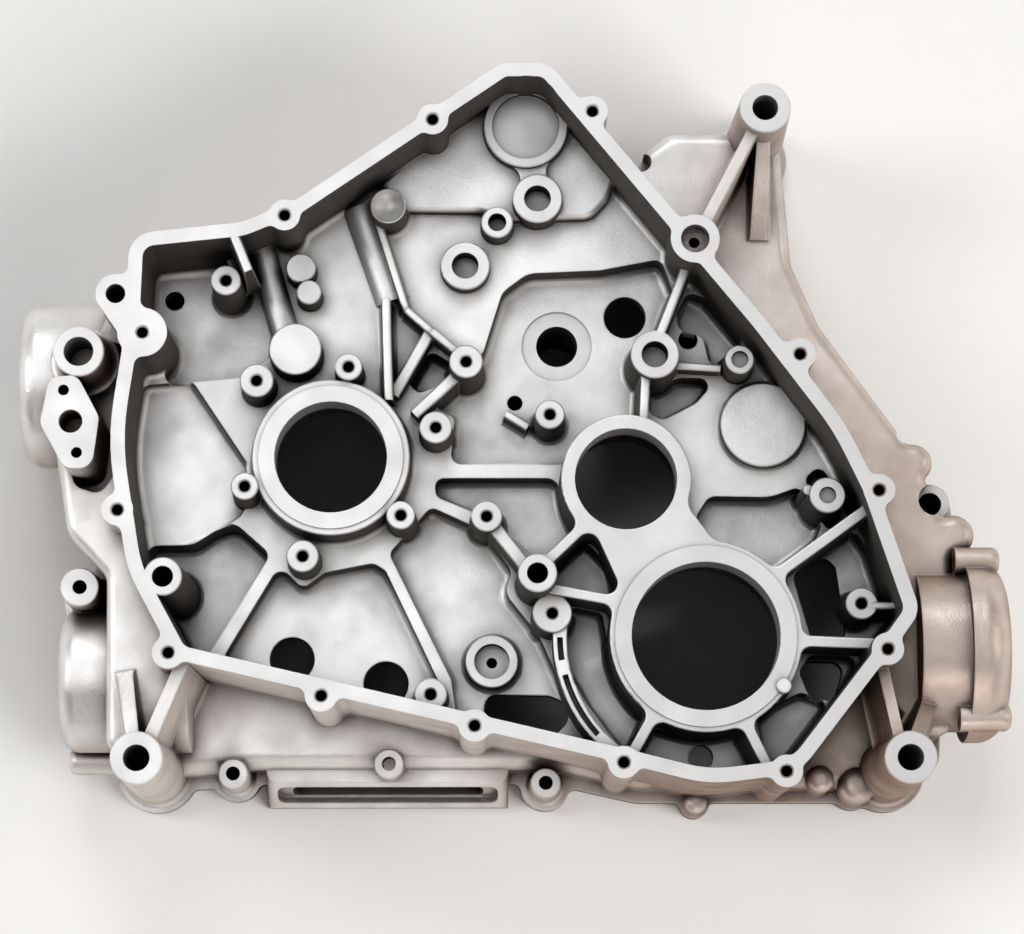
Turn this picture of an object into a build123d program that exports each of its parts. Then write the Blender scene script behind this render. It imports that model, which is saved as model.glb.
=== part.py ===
from build123d import *
import math
import os

# One half of an engine crankcase, cast in one piece and then machined.
# It lies on its split face. X runs to the right and Y runs up, seen from the cover side,
# and Z stands along the shaft bores, from the split face to the cover face.
# All sizes are in millimetres.

# Heights above the split face
COVER_FACE_Z = 115.0
MAIN_FLOOR_Z = 70.0
UPPER_FLOOR_Z = 77.0
LEFT_FLOOR_Z = 62.0
LOW_FLOOR_Z = 54.0
DEEP_FLOOR_Z = 38.0
SHELF_Z = 30.0
SPLIT_FLANGE_Z = 10.0
RIGHT_SHOULDER_Z = 60.0
LEFT_SHOULDER_Z = 84.0
LEFT_HUB_Z = 92.0
RIGHT_HUB_Z = 100.0
WALL_TOP_Z = 94.0
MOUNT_TOP_Z = 110.0
PORT_FACE_Z = 110.0

# Walls and radii of the casting
COVER_WALL = 6.5
FLOOR_FILLET = 3.0
POCKET_FILLET = 3.5
POCKET_CORNER = 4.2
FOOT_FILLET = 3.5
EDGE_FILLET = 1.2
CORNER_FILLET = 4.0
WEB_FILLET = 5.0
WEB_EDGE = 0.8
WEB_INSET = 0.5
FOOT_BITE = 0.3
EMBED = 2.0
OVERCUT = 1.0
BELOW = -OVERCUT
ABOVE = COVER_FACE_Z + OVERCUT
DRAFT_DEG = 1.5
TOP_CHAMFER = 0.6
# Share of the radius that rounds the top of a domed lump
DOME_SHARE = 0.7

# Shaft bores
LEFT_BORE_AT = (-83.5, 8.5)
LEFT_BORE_R = 26.0
LEFT_RING_R = 33.5
LEFT_HUB_R = 36.5
MIDDLE_BORE_AT = (52.5, -3.0)
MIDDLE_BORE_R = 23.5
MIDDLE_HUB_R = 30.0
LARGE_BORE_AT = (88.5, -75.5)
LARGE_BORE_R = 34.0
LARGE_HUB_R = 44.0
RING_STEP = 1.0
RING_INSET = 2.4
BORE_LENGTH = 18.0
BORE_RELIEF = 3.0

# Tapped holes of the cover flange
COVER_BOLT_TAP_R = 2.5
COVER_BOLT_MOUTH_R = 3.4
COVER_BOLT_BOSS_R = 7.3
COVER_BOLT_DEPTH = 22.0
COVER_BOLTS = [
    (-104.5, 117.5),
    (-36.5, 163.0),
    (37.5, 167.0),
    (132.0, 52.5),
    (167.0, -10.5),
    (169.5, -83.0),
    (123.0, -138.0),
    (50.0, -134.0),
    (-17.0, -117.5),
    (-86.0, -104.0),
    (-155.0, -84.5),
    (-179.0, -19.5),
]
DOWEL_BOLT_AT = (84.5, 106.5)
DOWEL_BOLT_BOSS_R = 11.3
DOWEL_R = 6.6
DOWEL_DEPTH = 9.0
CORNER_BOLT_AT = (-169.0, 62.5)
CORNER_BOLT_BOSS_R = 11.4
LUG_BOLT_AT = (-181.5, 80.5)
LUG_R = 9.2
LUG_HOLE_R = 4.5

# Long bosses for the engine mounting bolts
MOUNT_BORE_R = 6.0
MOUNT_BOSS_R = 12.0
MOUNT_EAR_R = 19.0
TOP_MOUNT_AT = (118.0, 170.0)
LEFT_MOUNT_AT = (-169.0, -131.5)
RIGHT_MOUNT_AT = (179.5, -131.5)
MOUNTS = [TOP_MOUNT_AT, LEFT_MOUNT_AT, RIGHT_MOUNT_AT]

# Bolts that join the two halves
CASE_BOLT_R = 3.3
CASE_BOLT_TOP_Z = 36.0
LOWER_CASE_BOLTS = [(-131.0, -133.5), (-57.5, -129.0), (16.5, -138.0)]
LOWER_CASE_BOLT_BOSS_R = 7.0
LOWER_CASE_BOLT_EAR_R = 11.8
SIDE_CASE_BOLT_EAR_R = 15.0
# Place, boss radius, top height and bore radius
SIDE_CASE_BOLTS = [
    ((-200.0, -50.0), 9.0, 76.0, 3.3),
    ((199.5, -6.5), 9.5, 44.0, 5.5),
]
TALL_BOLTS = [(-158.0, -50.0), (11.5, -48.5)]
TALL_BOLT_BOSS_R = 8.8
TALL_BOLT_BORE_R = 4.8

# Small bosses that stand on the floor of the cover space: place, radius, top height
SMALL_BOSSES = [
    ((-132.5, 91.0), 7.1, 96.0),
    ((-118.0, 44.0), 7.8, 94.0),
    ((-75.5, 50.5), 6.4, 94.0),
    ((-35.0, 22.0), 7.5, 94.0),
    ((-51.0, -19.0), 6.6, 94.0),
    ((-96.0, -38.0), 7.4, 94.0),
    ((-123.0, -5.5), 6.4, 94.0),
    ((-21.0, 53.0), 7.8, 94.0),
    ((-11.5, -19.5), 7.2, 94.0),
    ((18.5, -64.5), 9.0, 96.0),
    ((18.0, 29.5), 6.9, 86.0),
    ((161.0, -59.5), 7.4, 90.0),
    ((-37.0, -102.0), 7.5, 98.0),
]
SMALL_BOLT_R = 2.5
SMALL_BOLT_MOUTH_R = 3.3
SMALL_BOLT_DEPTH = 16.0

# Bosses with a wide blind bore: place, radius, bore radius, top height, bore depth
WIDE_BOSSES = [
    ((66.5, 56.0), 11.3, 6.2, 96.0, 14.0),
    ((106.0, 54.0), 6.8, 4.0, 94.0, 4.0),
    ((145.5, -10.0), 8.3, 3.9, 96.0, 4.0),
    ((12.5, 133.0), 11.8, 6.3, 84.0, 12.0),
    ((-6.5, 121.5), 7.5, 4.3, 84.0, 12.0),
    ((-21.5, 102.0), 11.6, 6.3, 78.0, 12.0),
    ((-9.0, -83.5), 12.4, 8.2, 64.0, 8.0),
]
OIL_JET_AT = (-9.0, -83.5)
OIL_JET_R = 2.5

# Plain round pads cast on the floor: place, radius, top height
ROUND_PADS = [
    ((-100.5, 60.0), 12.2, 88.0),
    ((-98.5, 99.5), 7.0, 84.0),
    ((-94.5, 87.5), 5.8, 86.0),
    ((137.0, -7.0), 2.4, 92.0),
    ((123.5, -98.5), 3.6, 103.0),
]

# Ring boss near the top corner
TOP_RING_AT = (7.0, 168.0)
TOP_RING_R = 20.0
TOP_RING_RECESS_R = 15.8
TOP_RING_Z = 84.0
TOP_RING_RECESS_DEPTH = 4.0
# Raised neck from the ring boss to the wide boss beside it
RING_NECK_TO = (12.5, 133.0)
RING_NECK_WIDTH = 13.0
RING_NECK_END_R = 11.0
RING_NECK_FILLET = 7.0
RING_NECK_Z = 81.0

# Dished boss at the end of a passage
DISHED_BOSS_AT = (-57.5, 127.5)
DISHED_BOSS_R = 8.4
DISHED_BOSS_Z = 92.0
DISH_R = 9.0
DISH_DEPTH = 4.5

# Round holes through the floor: place and radius
FLOOR_HOLES = [
    ((22.0, 68.0), 9.8),
    ((54.5, 82.0), 10.0),
    ((2.0, 40.5), 3.6),
    ((-102.5, -81.5), 10.5),
    ((-58.5, -93.0), 10.6),
    ((88.5, -127.5), 5.8),
    ((-160.0, 90.0), 4.6),
    ((83.5, 68.0), 4.5),
]
SPOT_FACE_AT = (22.0, 68.0)
SPOT_FACE_R = 16.6
SPOT_FACE_DEPTH = 0.8

# Outer line of the cover flange, as corners and the radius of each corner
FLANGE_CORNERS = [
    ((-175.5, 108.5), 12.0),
    ((-124.5, 114.0), 18.0),
    ((-99.5, 124.5), 20.0),
    ((-4.5, 190.0), 10.0),
    ((17.5, 190.0), 12.0),
    ((116.0, 69.0), 200.0),
    ((152.0, 20.5), 120.0),
    ((165.5, -8.0), 20.0),
    ((184.5, -66.0), 12.0),
    ((174.0, -80.5), 16.0),
    ((128.5, -139.0), 24.0),
    ((88.0, -144.0), 60.0),
    ((50.0, -134.5), 30.0),
    ((-152.0, -87.5), 12.0),
    ((-174.0, -47.0), 60.0),
    ((-184.0, 13.0), 120.0),
    ((-177.0, 62.0), 60.0),
]

# Outline of the case at the split face
CASE_CORNERS = [
    ((-186.0, -130.0), 10.0),
    ((-170.0, -141.0), 12.0),
    ((-120.0, -137.0), 20.0),
    ((20.0, -137.0), 20.0),
    ((60.0, -146.0), 30.0),
    ((165.0, -146.0), 12.0),
    ((206.0, -130.0), 10.0),
    ((210.0, -22.0), 10.0),
    ((192.0, 17.0), 14.0),
    ((148.0, 77.0), 20.0),
    ((135.5, 108.0), 20.0),
    ((132.0, 172.0), 16.0),
    ((72.0, 172.5), 16.0),
    ((50.0, 150.0), 10.0),
    ((17.0, 187.0), 10.0),
    ((-6.0, 187.0), 10.0),
    ((-100.0, 122.0), 14.0),
    ((-176.0, 106.0), 12.0),
    ((-196.0, 78.0), 14.0),
    ((-207.0, 52.0), 10.0),
    ((-208.0, -20.0), 14.0),
    ((-186.0, -48.0), 10.0),
]
SHELF_SETBACK = 6.0
SHELF_EDGE_FILLET = 8.0

# Raised body outside the cover flange, on the right
RIGHT_BODY_CORNERS = [
    ((50.0, 140.0), 6.0),
    ((64.0, 162.0), 10.0),
    ((76.0, 171.5), 10.0),
    ((129.0, 171.5), 10.0),
    ((131.5, 140.0), 14.0),
    ((134.0, 107.0), 16.0),
    ((147.0, 77.0), 14.0),
    ((190.0, 17.0), 14.0),
    ((208.5, -28.0), 12.0),
    ((207.5, -118.0), 10.0),
    ((186.0, -118.0), 8.0),
    ((166.0, -90.0), 8.0),
    ((120.0, -60.0), 8.0),
    ((90.0, 60.0), 8.0),
]
RIGHT_BODY_EDGE = 6.0
# Bumps of its outline round the bolts of the split face: place and radius
RIGHT_BODY_BUMPS = [((190.5, 11.5), 9.0), ((209.0, -23.0), 9.5)]

# Raised body outside the cover flange, on the left
LEFT_BODY_CORNERS = [
    ((-160.0, 96.0), 4.0),
    ((-186.0, 88.0), 8.0),
    ((-192.0, 70.0), 6.0),
    ((-208.0, 62.0), 10.0),
    ((-213.0, 20.0), 30.0),
    ((-205.5, -26.0), 16.0),
    ((-187.0, -46.0), 8.0),
    ((-186.0, -128.0), 8.0),
    ((-166.0, -128.0), 6.0),
    ((-146.5, -92.0), 6.0),
    ((-150.0, -20.0), 6.0),
]
LEFT_BODY_EDGE = 5.0

# Trough between the left ports and the cover flange
TROUGH_CORNERS = [
    ((-192.0, 66.0), 4.0),
    ((-172.0, 60.0), 4.0),
    ((-183.5, 2.0), 8.0),
    ((-190.5, -8.0), 6.0),
    ((-202.5, -4.0), 6.0),
    ((-205.0, 8.0), 4.0),
    ((-199.0, 30.0), 10.0),
]
TROUGH_FLOOR_Z = 58.0
TROUGH_CORNER = 2.0

# Oil ports on the left
PORT_AT = (-198.5, 54.5)
PORT_BOSS_R = 11.8
PORT_BORE_R = 6.8
PORT_DEPTH = 28.0
RHOMB_PLATE_CORNERS = [
    ((-211.5, 42.5), 6.0),
    ((-199.0, 43.5), 6.0),
    ((-188.5, 24.0), 7.0),
    ((-191.5, 0.0), 7.0),
    ((-204.0, 0.5), 6.0),
    ((-215.5, 21.0), 7.0),
]
RHOMB_HOLES = [((-205.0, 36.5), 2.5), ((-201.5, 22.0), 5.4), ((-198.5, 7.5), 2.5)]
RHOMB_HOLE_DEPTH = 24.0

# Round housings on the two ends, with their axes along X
LEFT_DRUM_R = 34.0
LEFT_DRUM_Y = -90.0
LEFT_DRUM_Z = 40.0
LEFT_DRUM_X = (-210.5, -150.0)
LEFT_DRUM_BORE_R = 24.0
LEFT_DRUM_BORE_DEPTH = 20.0
FILTER_HOUSING_R = 39.5
FILTER_HOUSING_Y = 51.0
FILTER_HOUSING_Z = 43.5
FILTER_HOUSING_X = (-230.5, -172.0)
FILTER_HOUSING_BORE_R = 31.0
FILTER_HOUSING_BORE_DEPTH = 26.0
RIGHT_DRUM_R = 43.0
RIGHT_DRUM_Y = -77.0
RIGHT_DRUM_Z = 44.0
RIGHT_DRUM_X = (190.0, 232.0)
RIGHT_DRUM_NECK_R = 38.0
RIGHT_DRUM_FLANGE = 19.0
RIGHT_DRUM_EDGE = 13.0
RIGHT_DRUM_BORE_R = 28.0
RIGHT_DRUM_BORE_DEPTH = 24.0
DRUM_EDGE = 8.0
# Lugs with a cap bolt hole beside the round housings: range of X, place in Y and Z
DRUM_LUGS = [
    ((-209.0, -180.0), -127.0, 26.0),
    ((208.0, 229.0), -36.0, 60.0),
    ((208.0, 232.0), -110.0, 66.0),
]
DRUM_LUG_R = 6.5
DRUM_LUG_EDGE = 3.8
DRUM_LUG_HOLE_R = 2.5
DRUM_LUG_HOLE_DEPTH = 14.0

# Sump opening in the lower side
SUMP_PAD_X = (-116.0, -1.0)
SUMP_PAD_LOWER_EDGE = (-148.0, 7.0)
SUMP_PAD_UPPER_EDGE = (-137.0, 23.0)
SUMP_PAD_BOTTOM_Z = 0.0
SUMP_PAD_END_FILLET = 5.0
SUMP_RECESS_X = (-111.0, -6.0)
SUMP_RECESS_HEIGHT = 12.5
SUMP_RECESS_DEPTH = 4.0
SUMP_OPENING_X = (-104.0, -13.0)
SUMP_OPENING_HEIGHT = 6.5
SUMP_OPENING_DEPTH = 21.0
# How far below the middle of the pad the opening lies
SUMP_OPENING_DROP = 2.2
SUMP_WALL_Y = -128.0

# Chambers open to the split face
CHAMBER_CEILING_Z = 46.0
DEEP_ROOF = 8.0
CRANK_CHAMBER_R = 82.0
SUMP_CHAMBER_CORNERS = [
    ((-146.0, -60.0), 8.0),
    ((-20.0, -60.0), 8.0),
    ((-14.0, -104.0), 8.0),
    ((-140.0, -76.0), 8.0),
]
SUMP_TROUGH_CORNERS = [
    ((-150.0, -94.0), 6.0),
    ((-20.0, -114.0), 6.0),
    ((-20.0, -128.0), 4.0),
    ((-150.0, -128.0), 6.0),
]
SUMP_TROUGH_CEILING_Z = 22.0
GEAR_CHAMBER_CORNERS = [
    ((13.0, 68.0), 10.0),
    ((108.0, 58.0), 12.0),
    ((152.0, -6.0), 20.0),
    ((171.0, -62.0), 12.0),
    ((168.0, -80.0), 8.0),
    ((130.0, -129.0), 10.0),
    ((112.0, -135.0), 10.0),
    ((74.0, -135.0), 10.0),
    ((60.0, -125.0), 10.0),
    ((-13.0, -109.5), 6.0),
    ((-14.0, -94.0), 6.0),
    ((4.0, -88.0), 6.0),
    ((12.0, -20.0), 20.0),
]
TIMING_CHAMBER_CORNERS = [
    ((-94.0, 106.0), 8.0),
    ((-6.0, 168.0), 8.0),
    ((14.0, 174.0), 8.0),
    ((92.0, 76.0), 10.0),
    ((2.0, 84.0), 12.0),
    ((-40.0, 94.0), 12.0),
]
RIGHT_SIDE_CHAMBER_CORNERS = [
    ((73.0, 148.0), 6.0),
    ((82.0, 160.0), 6.0),
    ((98.0, 160.0), 6.0),
    ((112.0, 140.0), 8.0),
    ((118.0, 102.0), 8.0),
    ((111.0, 91.0), 6.0),
]
CORNER_CHAMBER_CORNERS = [
    ((-170.0, 97.0), 6.0),
    ((-121.0, 101.0), 5.0),
    ((-121.0, 91.5), 4.0),
    ((-139.0, 78.5), 10.0),
    ((-154.0, 64.0), 10.0),
    ((-166.0, 55.0), 4.0),
]
LEFT_GALLERY_CORNERS = [
    ((-196.0, -34.0), 5.0),
    ((-197.0, 40.0), 6.0),
    ((-188.0, 60.0), 6.0),
    ((-177.0, 44.0), 5.0),
    ((-173.0, 8.0), 8.0),
    ((-178.0, -34.0), 5.0),
]
LOWER_GALLERY_CORNERS = [
    ((-184.0, -114.0), 5.0),
    ((-160.0, -114.0), 5.0),
    ((-160.0, -99.0), 5.0),
    ((-184.0, -74.0), 5.0),
]
RIGHT_GALLERY_CORNERS = [
    ((179.0, -94.0), 5.0),
    ((200.0, -94.0), 5.0),
    ((200.0, -36.0), 5.0),
    ((187.0, -36.0), 5.0),
    ((179.0, -60.0), 5.0),
]
SPLIT_POST_R = 8.0

# Bolt holes of the split face
SPLIT_BOLTS = [
    (-146.0, 96.0),
    (-99.0, 113.5),
    (-8.0, 178.0),
    (62.0, 145.0),
    (123.0, 152.0),
    (131.0, 72.0),
    (185.0, 10.0),
    (195.0, -24.0),
    (155.0, -133.0),
    (46.0, -130.5),
    (-2.0, -62.0),
    (4.0, 20.0),
    (-8.0, 74.0),
    (-179.0, 20.0),
]
SPLIT_BOLT_DEPTH = 24.0
SPLIT_DOWELS = [(-180.0, -62.0), (192.0, -106.0)]
SPLIT_DOWEL_R = 5.0
SPLIT_DOWEL_DEPTH = 10.0

# Sunken areas of the cover floor: height of the bottom, and the corners of the outline
POCKETS = [
    # behind the upper left corner
    (LOW_FLOOR_Z, [
        ((-185.0, 110.0), 4.0), ((-122.5, 112.0), 4.0), ((-112.0, 72.0), 8.0), ((-113.0, 60.0), 5.0),
        ((-126.0, 50.0), 5.0), ((-152.0, 47.5), 5.0), ((-185.0, 44.0), 4.0),
    ]),
    # shallow bay left of the left bore
    (LEFT_FLOOR_Z, [
        ((-190.0, 45.0), 3.0), ((-149.5, 48.0), 3.0), ((-118.0, 1.0), 8.0), ((-126.0, -16.0), 6.0),
        ((-141.0, -26.0), 6.0), ((-160.0, -33.0), 4.0), ((-190.0, -33.0), 3.0),
    ]),
    # deep pocket in the lower left corner
    (DEEP_FLOOR_Z, [
        ((-185.0, -29.0), 4.0), ((-149.0, -28.5), 10.0), ((-139.0, -22.0), 8.0), ((-129.5, -18.5), 8.0),
        ((-112.0, -34.0), 5.0), ((-140.5, -81.0), 5.0), ((-152.0, -105.0), 4.0), ((-190.0, -60.0), 4.0),
    ]),
    # between the two slanting ribs under the left bore
    (LOW_FLOOR_Z, [
        ((-108.0, -39.0), 5.0), ((-97.0, -50.0), 4.0), ((-87.0, -42.5), 6.0), ((-64.0, -38.0), 6.0),
        ((-58.5, -41.5), 4.0), ((-32.0, -97.0), 4.0), ((-28.5, -116.0), 4.0), ((-144.0, -103.0), 4.0),
        ((-133.0, -81.0), 4.0),
    ]),
    # right of the right-hand slanting rib
    (LOW_FLOOR_Z, [
        ((-37.5, -11.5), 4.0), ((-57.0, -33.5), 4.0), ((-28.0, -92.5), 4.0), ((-23.5, -122.0), 4.0),
        ((46.0, -138.0), 4.0), ((37.0, -118.0), 8.0), ((24.5, -98.0), 10.0), ((13.0, -72.0), 8.0),
        ((-3.0, -52.0), 8.0), ((0.5, -42.0), 6.0), ((-12.0, -23.5), 5.0), ((-19.0, -20.0), 4.0),
    ]),
    # small bay between the two ribs above the left bore
    (LOW_FLOOR_Z, [
        ((-37.5, 62.5), 4.0), ((-25.5, 55.5), 3.0), ((-28.5, 48.5), 3.0), ((-43.5, 42.0), 3.0),
        ((-50.5, 49.5), 3.0),
    ]),
    # middle of the cover space, with the two round oil holes
    (LOW_FLOOR_Z, [
        ((-38.5, 37.5), 3.0), ((-26.5, 30.5), 3.0), ((-28.5, 8.5), 5.0), ((60.0, 8.5), 4.0),
        ((59.5, 46.0), 6.0), ((68.0, 68.0), 4.0), ((76.5, 92.0), 4.0), ((71.0, 107.0), 4.0),
        ((42.0, 101.5), 30.0), ((8.0, 100.0), 12.0), ((-4.0, 91.0), 10.0), ((-13.0, 62.0), 8.0),
    ]),
    # between the level rib, the middle bore and the tall boss
    (LOW_FLOOR_Z, [
        ((-36.0, 2.0), 4.0), ((-35.0, -7.0), 4.0), ((-14.0, -15.5), 4.0), ((-4.0, -23.0), 4.0),
        ((11.0, -36.0), 5.0), ((40.0, -30.0), 5.0), ((20.0, 2.0), 6.0),
    ]),
    # left of the curved corner under the middle bore
    (LOW_FLOOR_Z, [
        ((15.5, -36.0), 4.0), ((29.5, -29.0), 6.0), ((36.5, -29.5), 6.0), ((46.0, -39.5), 8.0),
        ((49.5, -57.5), 4.0), ((21.0, -52.5), 4.0),
    ]),
    # curved bay left of the large bore
    (LOW_FLOOR_Z, [
        ((27.0, -58.5), 3.0), ((42.5, -61.5), 4.0), ((45.0, -78.0), 20.0), ((50.0, -93.0), 20.0),
        ((61.5, -109.0), 5.0), ((56.0, -122.5), 3.0), ((50.0, -124.0), 3.0), ((35.0, -104.0), 20.0),
        ((25.5, -87.0), 10.0), ((22.0, -72.0), 6.0),
    ]),
    # under the large bore
    (LOW_FLOOR_Z, [
        ((57.5, -126.0), 3.0), ((65.0, -115.0), 5.0), ((87.0, -120.0), 40.0), ((106.0, -116.0), 6.0),
        ((113.0, -131.0), 3.0), ((110.0, -145.0), 4.0), ((60.0, -145.0), 4.0),
    ]),
    # lower right of the large bore
    (LOW_FLOOR_Z, [
        ((113.5, -112.0), 4.0), ((121.0, -105.0), 4.0), ((134.0, -98.5), 5.0), ((150.0, -104.0), 6.0),
        ((140.0, -128.0), 6.0), ((118.0, -136.0), 4.0),
    ]),
    # right of the middle bore
    (LOW_FLOOR_Z, [
        ((86.5, -16.0), 4.0), ((92.5, -6.5), 6.0), ((121.0, -7.0), 20.0), ((135.0, -2.0), 4.0),
        ((145.5, -20.0), 6.0), ((142.5, -27.0), 5.0), ((121.5, -42.5), 5.0), ((100.0, -33.0), 10.0),
        ((90.0, -30.0), 6.0),
    ]),
    # round the boss near the right-hand wall
    (LOW_FLOOR_Z, [
        ((137.5, 2.0), 4.0), ((144.5, 8.0), 3.0), ((164.0, -16.0), 3.0), ((155.0, -22.5), 3.0),
        ((147.0, -22.0), 3.0),
    ]),
    # right of the large bore
    (LOW_FLOOR_Z, [
        ((131.0, -44.0), 5.0), ((149.0, -29.5), 4.0), ((160.0, -22.0), 4.0), ((185.0, -60.0), 6.0),
        ((178.0, -76.0), 5.0), ((158.0, -75.5), 3.0), ((139.5, -74.5), 5.0),
    ]),
    # below the short rib at the right
    (LOW_FLOOR_Z, [
        ((133.5, -89.0), 4.0), ((138.5, -81.0), 5.0), ((162.0, -82.0), 4.0), ((152.0, -103.0), 4.0),
        ((138.0, -101.0), 6.0),
    ]),
    # three-cornered bay under the wide boss
    (LOW_FLOOR_Z, [
        ((65.5, 45.5), 3.0), ((80.0, 50.0), 3.0), ((97.5, 49.5), 3.0), ((87.0, 37.5), 10.0),
        ((71.5, 29.5), 6.0), ((64.5, 33.0), 3.0),
    ]),
    # bay between the wide boss and the right-hand wall
    (LOW_FLOOR_Z, [
        ((83.5, 91.5), 4.0), ((78.0, 80.0), 5.0), ((79.5, 72.0), 5.0), ((90.5, 70.5), 6.0),
        ((93.5, 56.0), 4.0), ((100.0, 56.5), 4.0), ((111.0, 66.0), 5.0), ((99.0, 85.0), 10.0),
    ]),
]

# Openings right through the wall behind the cover floor
WINDOWS = [
    [
        ((-12.0, -98.0), 5.5), ((18.0, -98.5), 6.0), ((27.5, -103.0), 5.0), ((26.5, -111.0), 5.0),
        ((20.5, -117.5), 4.0), ((-13.0, -109.5), 4.0),
    ],
    [
        ((133.0, -45.0), 4.0), ((147.5, -32.0), 5.0), ((153.0, -38.0), 4.0), ((158.0, -72.5), 4.0),
        ((140.5, -72.5), 5.0),
    ],
    [
        ((135.5, -86.0), 5.0), ((139.5, -82.5), 4.0), ((157.0, -83.0), 5.0), ((151.5, -101.0), 5.0),
        ((140.5, -102.5), 5.0),
    ],
]

# Ribs on the cover floor: start, end, width, height of the floor, height of the top
RIBS = [
    ((-36.5, 72.0), (-55.0, 40.0), 5.6, LOW_FLOOR_Z, 80.0),
    ((-21.0, 53.0), (-45.0, 30.0), 5.6, LOW_FLOOR_Z, 82.0),
    ((-58.5, 84.0), (-57.0, 36.0), 4.2, MAIN_FLOOR_Z, 88.0),
    ((-63.0, 124.0), (-49.0, 80.0), 3.6, MAIN_FLOOR_Z, 80.0),
    ((-49.0, 80.0), (-37.0, 69.5), 3.6, MAIN_FLOOR_Z, 82.0),
    ((-37.0, 69.5), (-21.0, 56.0), 4.0, LOW_FLOOR_Z, 84.0),
    ((81.0, 96.0), (67.5, 62.0), 4.4, LOW_FLOOR_Z, 96.0),
    ((62.5, 50.0), (61.0, 24.0), 4.2, LOW_FLOOR_Z, 92.0),
    ((72.0, 54.0), (98.0, 52.5), 3.6, LOW_FLOOR_Z, 80.0),
    ((-11.5, -19.5), (11.5, -48.5), 6.4, LOW_FLOOR_Z, 90.0),
    ((-2.5, 33.5), (8.0, 27.0), 4.0, LOW_FLOOR_Z, 66.0),
    ((161.0, -60.5), (182.0, -60.5), 3.6, LOW_FLOOR_Z, 90.0),
]

# Ribs that join the middle and the large bearing hubs to the walls: start, end and width
HUB_RIBS = [
    ((120.0, -48.0), (168.0, -13.5), 5.0),
    ((128.0, -77.5), (172.0, -79.5), 5.0),
    ((68.0, -105.0), (53.0, -132.0), 5.0),
    ((103.0, -109.0), (116.5, -136.0), 5.0),
    ((13.0, -53.0), (56.0, -61.0), 4.6),
    ((11.0, -46.0), (34.0, -24.0), 4.8),
]

# Curved wall round the left side of the large bearing: radius, width and angles of its ends
CURVED_WALL_R = 66.5
CURVED_WALL_WIDTH = 6.5
CURVED_WALL_ANGLES = (167.0, 233.0)
# Slots along the top of the curved wall, as angles of their ends
WALL_SLOTS = [(180.0, 189.0), (195.0, 222.0)]
WALL_SLOT_WIDTH = 2.6
WALL_SLOT_DEPTH = 7.0

# Ribs outside the cover flange: start, end, width, height of the floor, heights of the top at start and end
OUTER_RIBS = [
    ((115.0, 165.0), (88.0, 114.0), 5.2, RIGHT_SHOULDER_Z, 104.0, 100.0),
    ((118.5, 166.0), (118.0, 118.0), 6.0, RIGHT_SHOULDER_Z, 100.0, 62.0),
    ((-171.0, -126.0), (-177.5, -90.0), 6.0, LEFT_SHOULDER_Z, 104.0, 85.0),
    ((-165.0, -126.0), (-149.0, -88.0), 6.0, SHELF_Z, 106.0, 108.0),
    ((176.0, -126.0), (168.0, -86.0), 5.0, RIGHT_SHOULDER_Z, 104.0, 100.0),
    ((182.0, -126.0), (198.0, -96.0), 6.0, RIGHT_SHOULDER_Z, 96.0, 62.0),
]

# Tongue on the cover flange beside the upper left corner: start, end and width
TONGUE = ((-128.0, 109.0), (-120.8, 91.2), 4.3)

# Domed lumps along the outer edge: place, radius, top height
EDGE_LUMPS = [
    ((88.0, -146.5), 5.5, 24.0),
    ((146.0, -136.5), 6.5, 40.0),
    ((164.0, -139.0), 9.0, 34.0),
]
LUMP_EAR_WIDTH = 1.5
# Round notches in the outer edge: place, radius, height of the bottom
EDGE_NOTCHES = [((62.5, 157.0), 5.0, 42.0), ((186.0, 24.5), 3.5, 36.0), ((199.5, -6.5), 7.5, 44.0)]

# Passages cast as half-round pipes over the floor: start, end, radius and height of the axis
PIPES = [
    ((-118.0, 112.0), (-104.5, 66.0), 6.3, 72.0),
    ((-71.5, 132.0), (-55.5, 86.0), 9.0, 66.5),
]

# Plate that joins the middle and the large bearing hubs
HUB_BRIDGE_CORNERS = [
    ((37.0, -25.0), 3.0), ((78.0, -12.0), 3.0), ((96.0, -36.0), 3.0), ((74.0, -62.0), 3.0),
    ((50.0, -54.0), 3.0),
]
HUB_BRIDGE_FILLET = 9.0

# Raised part of the floor near the top corner
UPPER_STEP_CORNERS = [
    ((-62.0, 142.0), 3.0), ((-51.0, 128.5), 4.0), ((-14.0, 128.0), 8.0), ((0.0, 124.0), 8.0),
    ((20.0, 124.5), 8.0), ((38.0, 125.0), 10.0), ((46.0, 134.0), 6.0), ((52.0, 150.0), 4.0),
    ((20.0, 195.0), 4.0), ((-10.0, 195.0), 4.0),
]
ROUND_FIELD_AT = (118.0, 26.5)
ROUND_FIELD_R = 20.0
ROUND_FIELD_Z = 75.0


def flat(corners):
    """Closed flat shape through the corners, each with its own corner radius."""
    points = [corner[0] for corner in corners]
    radii = [corner[1] for corner in corners]
    return make_face(FilletPolyline(*points, radius=radii, close=True))


def disc(at, radius):
    return Pos(at[0], at[1]) * Circle(radius)


def prism(face, low, high):
    return extrude(Pos(0, 0, low) * face, amount=high - low)


def rounded_top(solid, radius):
    return fillet(solid.faces().sort_by(Axis.Z)[-1].edges(), radius)


def rounded_floor(solid, radius):
    return fillet(solid.faces().sort_by(Axis.Z)[0].edges(), radius)


def cylinder(at, radius, low, high):
    return prism(disc(at, radius), low, high)


def hollows_rounded(face, radius):
    """Rounds the inward corners of a flat shape."""
    grown = offset(face, amount=radius, kind=Kind.ARC)
    return offset(grown, amount=-radius, kind=Kind.ARC)


def corners_rounded(face, radius):
    """Rounds the outward corners of a flat shape."""
    shrunk = offset(face, amount=-radius, kind=Kind.ARC)
    return offset(shrunk, amount=radius, kind=Kind.ARC)


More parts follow.
